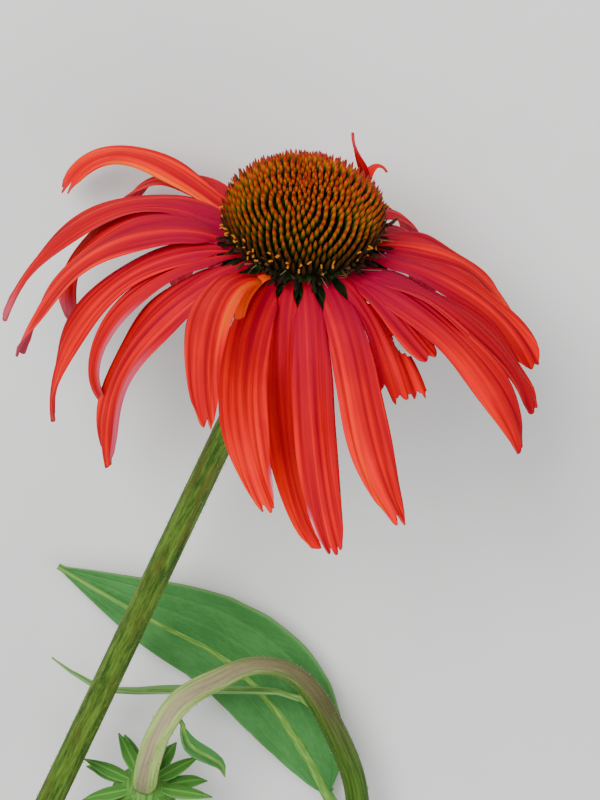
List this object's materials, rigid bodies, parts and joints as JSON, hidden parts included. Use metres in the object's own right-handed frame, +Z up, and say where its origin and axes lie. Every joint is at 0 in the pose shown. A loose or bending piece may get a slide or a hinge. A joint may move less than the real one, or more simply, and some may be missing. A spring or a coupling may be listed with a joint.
{
  "type": "coneflower cut stem",
  "caption": "Cut coneflower stem lying down: a bloom with drooping orange-red petals round a spiny domed cone, leaves and a side shoot with a nodding bud.",
  "frame": {"origin": "on the surface that the stem lies on, under the middle of the whole stem's bounding box", "axes": "+Z up from the surface, the bloom towards +Y and the stem's cut end towards -Y, +X to the right as seen from above"},
  "size_m": [0.1586, 0.271, 0.0939],
  "materials": {
    "petal_red": "soft, satin, finely ribbed",
    "cone_green_orange": "matt, stiff spines",
    "bract_green": "matt",
    "stem_green": "matt, ridged and finely hairy",
    "shoot_green": "matt, smooth",
    "bud_green": "matt",
    "button_green": "matt",
    "leaf_green": "satin",
    "narrow_leaf_green": "satin",
    "shoot_bract_green": "satin",
    "lower_leaf_green": "satin"
  },
  "bodies": {
    "root": {"ray_petals": "petal_red", "cone": "cone_green_orange", "involucre": "bract_green", "main_stem": "stem_green", "side_shoot": "shoot_green", "bud_bracts": "bud_green", "bud_button": "button_green", "shoot_leaf": "leaf_green", "narrow_leaf": "narrow_leaf_green", "shoot_bract": "shoot_bract_green", "stem_leaf": "lower_leaf_green"}
  },
  "joints": []
}
